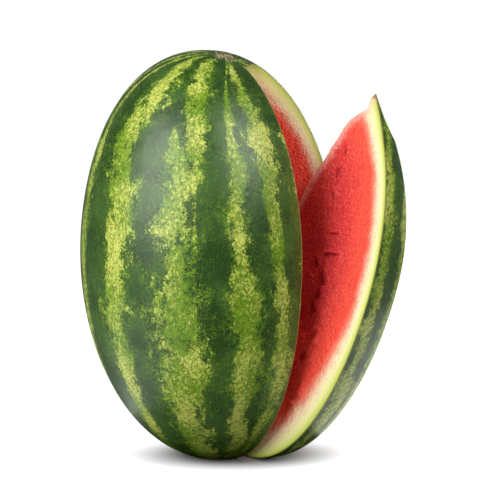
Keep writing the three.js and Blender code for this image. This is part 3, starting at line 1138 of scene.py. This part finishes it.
def skin_material(colours):
    finish = Finish(SKIN_FINISH)
    grown = finish.attribute("grown", "Vector")
    colour = striped_skin_colour(finish, grown, colours)
    grain = finish.noise(grown, size=2.4, detail=4, roughness=0.7)
    corky = finish.ranged(finish.add(finish.attribute("scar"), finish.times(grain, 0.5)), 0.55, 0.8)
    colour = finish.mix(corky, colour, cork_colour(finish, grown, grain, colours))
    # A pale line along the skin's cut edges: partly the rind showing at the edge, partly a painted highlight
    # on the wet edge
    cut_edge_rind_and_highlight = finish.times(finish.ranged(finish.attribute("trim"), 1.1, 0.2), 0.75)
    colour = finish.mix(cut_edge_rind_and_highlight, colour, CUT_EDGE_RIND_AND_HIGHLIGHT)
    finish.feed(finish.shader.inputs["Base Color"], colour)
    finish.feed(finish.shader.inputs["Roughness"], skin_roughness(finish, grown, corky))
    finish.feed(finish.shader.inputs["Normal"], skin_bumps(finish, grown, grain, corky))
    return finish.material


def flesh_stops(colours):
    """Colours from the skin inwards, each at its depth as a share of the span. The darker red deep in is
    partly the flesh's own deeper red and partly painted shade, where the melon shades the inner flesh.
    """
    rind = colours.rind_depth / MM
    depths = (
        (0.0, SKIN_LINE), (0.9, tuple(colours.rind)), (0.25 * rind, PALE_RIND),
        (0.44 * rind, tuple(colours.cream)), (0.56 * rind, PEACH_RIND), (0.69 * rind, tuple(colours.blush)),
        (0.88 * rind, tuple(colours.flesh)), (2.5 * rind, tuple(colours.heart_and_shade)),
        (FLESH_SPAN, dimmed(colours.heart_and_shade, 0.82)))
    return [(depth / FLESH_SPAN, colour) for depth, colour in depths]


def layered_colour(finish, grown, fibres, inner, colours):
    """Rind, blush and flesh by depth under the skin, with frayed borders between them."""
    wander = swing(finish, grown, size=16, amount=5.5)
    frayed = swing(finish, fibres, size=2.6, amount=1.6)
    astray = finish.times(finish.add(wander, frayed), inner)
    depth = finish.add(finish.attribute("depth"), astray)
    return finish.ramp(finish.math("DIVIDE", depth, FLESH_SPAN), flesh_stops(colours))


def juicy_colour(finish, colour, granule, streak, inner, colours):
    """Bright juicy granules and dim streaks in the flesh."""
    juicy = finish.times(finish.ranged(granule, 0.15, 0.75), inner)
    colour = finish.mix(finish.times(juicy, 0.36), colour, JUICE)
    dim = finish.times(finish.ranged(streak, 0.45, 0.68), inner)
    return finish.mix(finish.times(dim, 0.36), colour, dimmed(colours.heart_and_shade, 0.55))


def torn_edge_colour(finish, grown, colour):
    """Pale crumbs along the slice's inner edge, and its dried tip."""
    edge = finish.attribute("edge")
    crumbling = finish.add(edge, swing(finish, grown, size=2.2, amount=10.0))
    colour = finish.mix(finish.ranged(crumbling, 8.5, 0.4, 0.0, 0.66), colour, CRUMBS)
    level = finish.node("ShaderNodeSeparateXYZ")
    finish.feed(level.inputs[0], grown)
    tip = finish.ranged(level.outputs["Z"], *DRIED_TIP_LEVELS)
    return finish.mix(finish.times(tip, finish.ranged(edge, 7, 3)), colour, DRIED_TIP)


def flesh_material(colours):
    finish = Finish(FLESH_FINISH)
    grown = finish.attribute("grown", "Vector")
    fibres = finish.stretched(grown, (1, 1, 0.22))
    inner = finish.ranged(finish.attribute("depth"), 2.0, 12.0)
    granule = finish.cells(grown, size=1.7)
    streak = finish.noise(fibres, size=1.5, detail=3, roughness=0.6)
    hollow = finish.ranged(finish.attribute("hollow"), 0.0, 0.95)
    colour = layered_colour(finish, grown, fibres, inner, colours)
    colour = juicy_colour(finish, colour, granule, streak, inner, colours)
    colour = torn_edge_colour(finish, grown, colour)
    # Painted shade in the seed hollows over their own deeper red: darker where a hollow is deeper, and
    # painted shade only in the wide shallow hollows
    colour = finish.mix(finish.times(hollow, 0.85), colour, SEED_HOLLOW_RED_AND_SHADE)
    finish.feed(finish.shader.inputs["Base Color"], colour)
    rough = finish.add(finish.ranged(streak, 0.3, 0.7, 0.4, 0.6), finish.times(hollow, 0.3))
    finish.feed(finish.shader.inputs["Roughness"], rough)
    finish.feed(finish.shader.inputs["Specular IOR Level"], finish.ranged(hollow, 0.0, 1.0, 0.3, 0.1))
    finish.shader.inputs["Subsurface Weight"].default_value = 0.12
    finish.shader.inputs["Subsurface Radius"].default_value = (1.0, 0.35, 0.2)
    finish.shader.inputs["Subsurface Scale"].default_value = 0.004
    grains = finish.bump(finish.times(granule, inner), strength=0.8, distance=0.9)
    threads = finish.bump(finish.times(streak, inner), strength=0.6, distance=0.9, below=grains)
    finish.feed(finish.shader.inputs["Normal"], threads)
    return finish.material


def melon_finishes(scene):
    """The skin and the flesh, made once and shared by the melon and the slice."""
    made = bpy.data.materials
    skin = made.get(SKIN_FINISH) or skin_material(scene.melon_skin)
    flesh = made.get(FLESH_FINISH) or flesh_material(scene.melon_flesh)
    return skin, flesh


# Operators

class BuildFruit(bpy.types.Operator):
    """Build the cut melon: striped skin, two cut faces, inner wall, stem scar and flat spot"""

    bl_idname = "watermelon.build_fruit"
    bl_label = "Build the melon"

    def execute(self, context):
        scene = context.scene
        shape = MelonShape(scene.melon_sizes)
        mesh = closed_mesh(fruit_bmesh(shape), "melon_fruit")
        hollows = seed_hollows(shape, shape.near, NEAR_CUT_SEEDS)
        hollows += seed_hollows(shape, shape.far, FAR_CUT_SEEDS)
        points = carve(shape, mesh, hollows)
        points[:, 2] = np.maximum(points[:, 2], 0)
        piece = finish_object("melon_fruit", mesh, points, Matrix.Identity(4), melon_finishes(scene))
        smooth_faces(mesh)
        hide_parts("melon")
        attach(piece, "root")
        return {"FINISHED"}


class BuildSlice(bpy.types.Operator):
    """Build the slice that leans out of the notch, with its torn inner edge and pared tip"""

    bl_idname = "watermelon.build_slice"
    bl_label = "Build the slice"

    def execute(self, context):
        scene = context.scene
        shape = MelonShape(scene.melon_sizes)
        angle = scene.melon_slice.angle
        mesh = closed_mesh(slice_bmesh(shape, angle), "melon_slice")
        points = carve(shape, mesh, slice_hollows(shape, angle))
        matrix = slice_matrix(scene.melon_slice)
        piece = finish_object("melon_slice", mesh, points, matrix, melon_finishes(scene))
        cut_at_floor(mesh)
        smooth_faces(mesh)
        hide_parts("slice")
        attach(piece, "root")
        return {"FINISHED"}


class BuildStage(bpy.types.Operator):
    """Build the pale floor and the bounce floor, three light boxes, two floor cards, surround and camera"""

    bl_idname = "watermelon.build_stage"
    bl_label = "Build the stage"

    def execute(self, context):
        settings = context.scene.melon_stage
        build_floor(settings)
        build_bounce_floor(settings)
        for name, azimuth, elevation, distance, size, power in LIGHT_BOXES:
            build_light_box(name, azimuth, elevation, distance, size, getattr(settings, power))
        for name, place, size, power in FLOOR_CARDS:
            build_floor_card(name, place, size, getattr(settings, power))
        build_surround(context.scene, settings.surround)
        build_camera(context.scene)
        context.scene.view_settings.view_transform = "Standard"
        return {"FINISHED"}


# What the stage is made of

def build_square(name, half, level, material):
    """A level square that belongs to the stage."""
    mesh = bpy.data.meshes.new(name)
    corners = [(-half, -half, level), (half, -half, level), (half, half, level), (-half, half, level)]
    mesh.from_pydata(corners, [], [(0, 1, 2, 3)])
    mesh.materials.append(material)
    square = bpy.data.objects.new(name, mesh)
    bpy.context.collection.objects.link(square)
    return square


def build_floor(settings):
    """The pale floor that the camera sees: it glows white, and the dark oval round the fruit's foot, where
    it doesn't glow, is a painted contact shadow.
    """
    finish = glow_with_shadow_oval_finish("pale floor", settings.floor_colour, 1.0, FLOOR_GLOW)
    floor = build_square("floor", settings.floor_size / 2, 0.0, finish)
    floor.visible_diffuse = False
    floor.visible_glossy = False


def build_bounce_floor(settings):
    """A dim floor under the pale one, which only throws light up at the fruit, and none near its foot."""
    finish = glow_with_shadow_oval_finish("bounce floor", BOUNCE_COLOUR, BOUNCE_SHARE * settings.surround, BOUNCE_GLOW)
    bounce = build_square("bounce floor", settings.floor_size / 2, BOUNCE_LEVEL, finish)
    bounce.visible_camera = False


def glow_with_shadow_oval_finish(name, colour, brightness, glow_radii):
    """A matt finish that glows, but not in an oval round the fruit's foot; on the pale floor that oval is a
    painted contact shadow.
    """
    finish = Finish(name)
    finish.shader.inputs["Base Color"].default_value = (*colour, 1)
    finish.shader.inputs["Roughness"].default_value = 0.9
    finish.shader.inputs["Specular IOR Level"].default_value = 0.1
    finish.shader.inputs["Emission Color"].default_value = WHITE
    place = finish.node("ShaderNodeNewGeometry").outputs["Position"]
    offset = finish.node("ShaderNodeVectorMath", operation="SUBTRACT")
    finish.feed(offset.inputs[0], place)
    offset.inputs[1].default_value = SHADOW_OVAL_PLACE
    away = finish.node("ShaderNodeVectorMath", operation="LENGTH")
    finish.feed(away.inputs[0], finish.stretched(offset.outputs[0], SHADOW_OVAL_STRETCH))
    glow = finish.ranged(away.outputs["Value"], *glow_radii, 0.0, brightness)
    finish.feed(finish.shader.inputs["Emission Strength"], glow)
    return finish.material


def build_area_light(name, size, power):
    """A rectangular light that the camera doesn't see."""
    light = bpy.data.lights.new(name, "AREA")
    light.shape = "RECTANGLE"
    light.size, light.size_y = size
    light.energy = power
    lamp = bpy.data.objects.new(name, light)
    lamp.visible_camera = False
    bpy.context.collection.objects.link(lamp)
    return lamp


def build_light_box(name, azimuth, elevation, distance, size, power):
    """A soft box at an azimuth and elevation round the melon, facing it."""
    box = build_area_light(name, size, power)
    across, up = math.radians(azimuth), math.radians(elevation)
    away = Vector((math.sin(across) * math.cos(up), -math.cos(across) * math.cos(up), math.sin(up)))
    box.location = Vector(LIT_POINT) + away * distance
    box.rotation_euler = away.to_track_quat("Z", "Y").to_euler()


def build_floor_card(name, place, size, power):
    """A bright card that lies on the floor, facing up, and lights the undersides near it."""
    card = build_area_light(name, size, power)
    card.location = place
    card.rotation_euler = (math.pi, 0, 0)


def build_surround(scene, brightness):
    """Dim light from all round for the melon, and plain white behind it for the eye."""
    world = bpy.data.worlds.new("surround")
    world.use_nodes = True
    nodes, links = world.node_tree.nodes, world.node_tree.links
    dim = nodes["Background"]
    dim.inputs["Color"].default_value = WHITE
    dim.inputs["Strength"].default_value = brightness
    white = nodes.new("ShaderNodeBackground")
    white.inputs["Color"].default_value = WHITE
    white.inputs["Strength"].default_value = BACKDROP_BRIGHTNESS
    ray = nodes.new("ShaderNodeLightPath")
    mix = nodes.new("ShaderNodeMixShader")
    links.new(ray.outputs["Is Camera Ray"], mix.inputs["Fac"])
    links.new(dim.outputs["Background"], mix.inputs[1])
    links.new(white.outputs["Background"], mix.inputs[2])
    links.new(mix.outputs["Shader"], nodes["World Output"].inputs["Surface"])
    scene.world = world


def build_camera(scene):
    """The camera in front of the melon, a little above it."""
    data = bpy.data.cameras.new("camera")
    data.sensor_width = SENSOR_WIDTH
    data.lens = LENS
    data.clip_end = 100
    camera = bpy.data.objects.new("camera", data)
    camera.location = CAMERA_PLACE
    aim = Vector(CAMERA_AIM) - camera.location
    camera.rotation_euler = aim.to_track_quat("-Z", "Y").to_euler()
    bpy.context.collection.objects.link(camera)
    scene.camera = camera


# The panel and the registration

class WatermelonPanel(bpy.types.Panel):
    """Lists the watermelon's pieces and their settings"""

    bl_idname = "VIEW3D_PT_watermelon"
    bl_label = "Watermelon"
    bl_space_type = "VIEW_3D"
    bl_region_type = "UI"
    bl_category = "Watermelon"

    def draw(self, context):
        for group_name in GROUPS:
            group = getattr(context.scene, group_name)
            column = self.layout.column(align=True)
            for name in group.__annotations__:
                column.prop(group, name)
        for operator in (BuildFruit, BuildSlice, BuildStage):
            self.layout.operator(operator.bl_idname)


GROUPS = {
    "melon_sizes": FruitSizes, "melon_slice": SliceSizes, "melon_skin": SkinColours,
    "melon_flesh": FleshColours, "melon_stage": StageSettings}
CLASSES = (*GROUPS.values(), BuildFruit, BuildSlice, BuildStage, WatermelonPanel)


def register():
    for one in CLASSES:
        bpy.utils.register_class(one)
    for name, group in GROUPS.items():
        setattr(bpy.types.Scene, name, PointerProperty(type=group))


def unregister():
    for name in GROUPS:
        delattr(bpy.types.Scene, name)
    for one in reversed(CLASSES):
        bpy.utils.unregister_class(one)


def main():
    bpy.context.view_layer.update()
    register()
    bpy.ops.watermelon.build_fruit()
    bpy.ops.watermelon.build_slice()
    bpy.ops.watermelon.build_stage()


if __name__ == "__main__":
    main()
